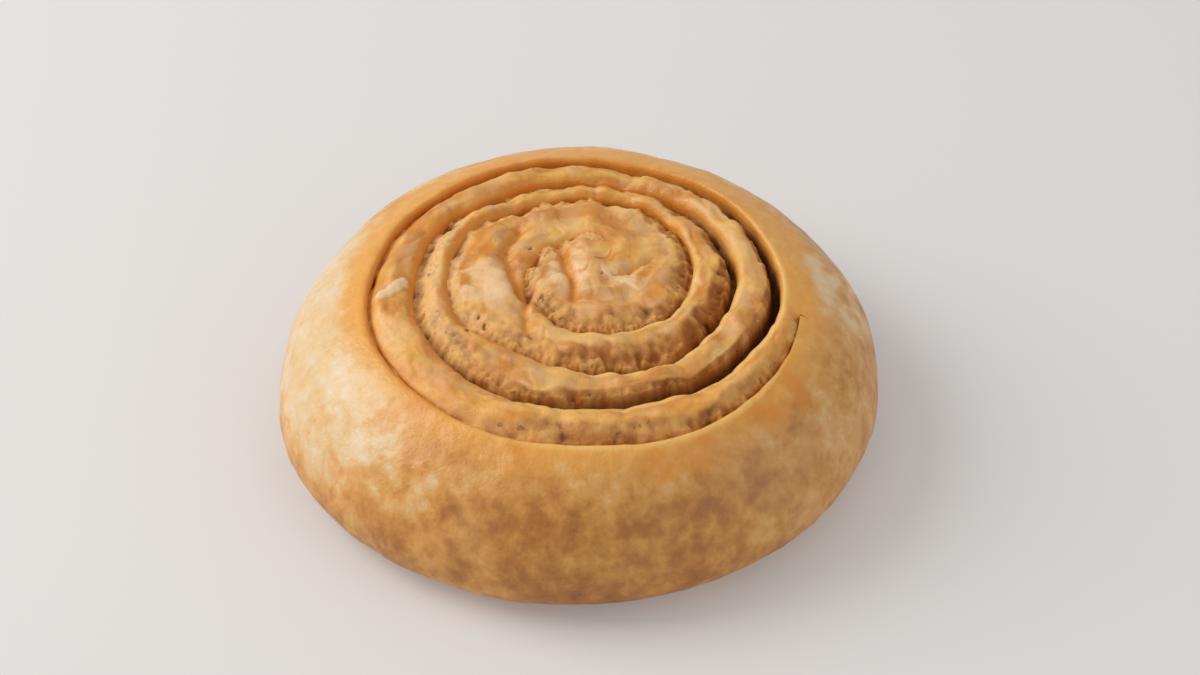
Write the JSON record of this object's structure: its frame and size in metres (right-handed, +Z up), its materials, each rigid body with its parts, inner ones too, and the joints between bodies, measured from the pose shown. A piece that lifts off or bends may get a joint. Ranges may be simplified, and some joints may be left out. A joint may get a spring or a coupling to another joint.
{
  "type": "tahini pie",
  "caption": "Round baked tahini pie: a puffy smooth-rimmed bun with a coiled top, a spiral groove and brown tahini filling that shows between the turns.",
  "frame": {"origin": "centre of the outline's box, on the flat base", "axes": "+Z up through the coiled top, -Y towards the side that faces the camera in the picture, +X to the right in the picture"},
  "size_m": [0.1198, 0.1201, 0.0348],
  "materials": {
    "baked_crust": "golden baked crust, satin where it is smooth, paler on its sides and toasted on its crowns",
    "tahini_paste": "matt grey-brown baked paste, sandy and porous"
  },
  "bodies": {
    "root": {"dough_coil": "baked_crust", "tahini_filling": "tahini_paste"}
  },
  "joints": []
}
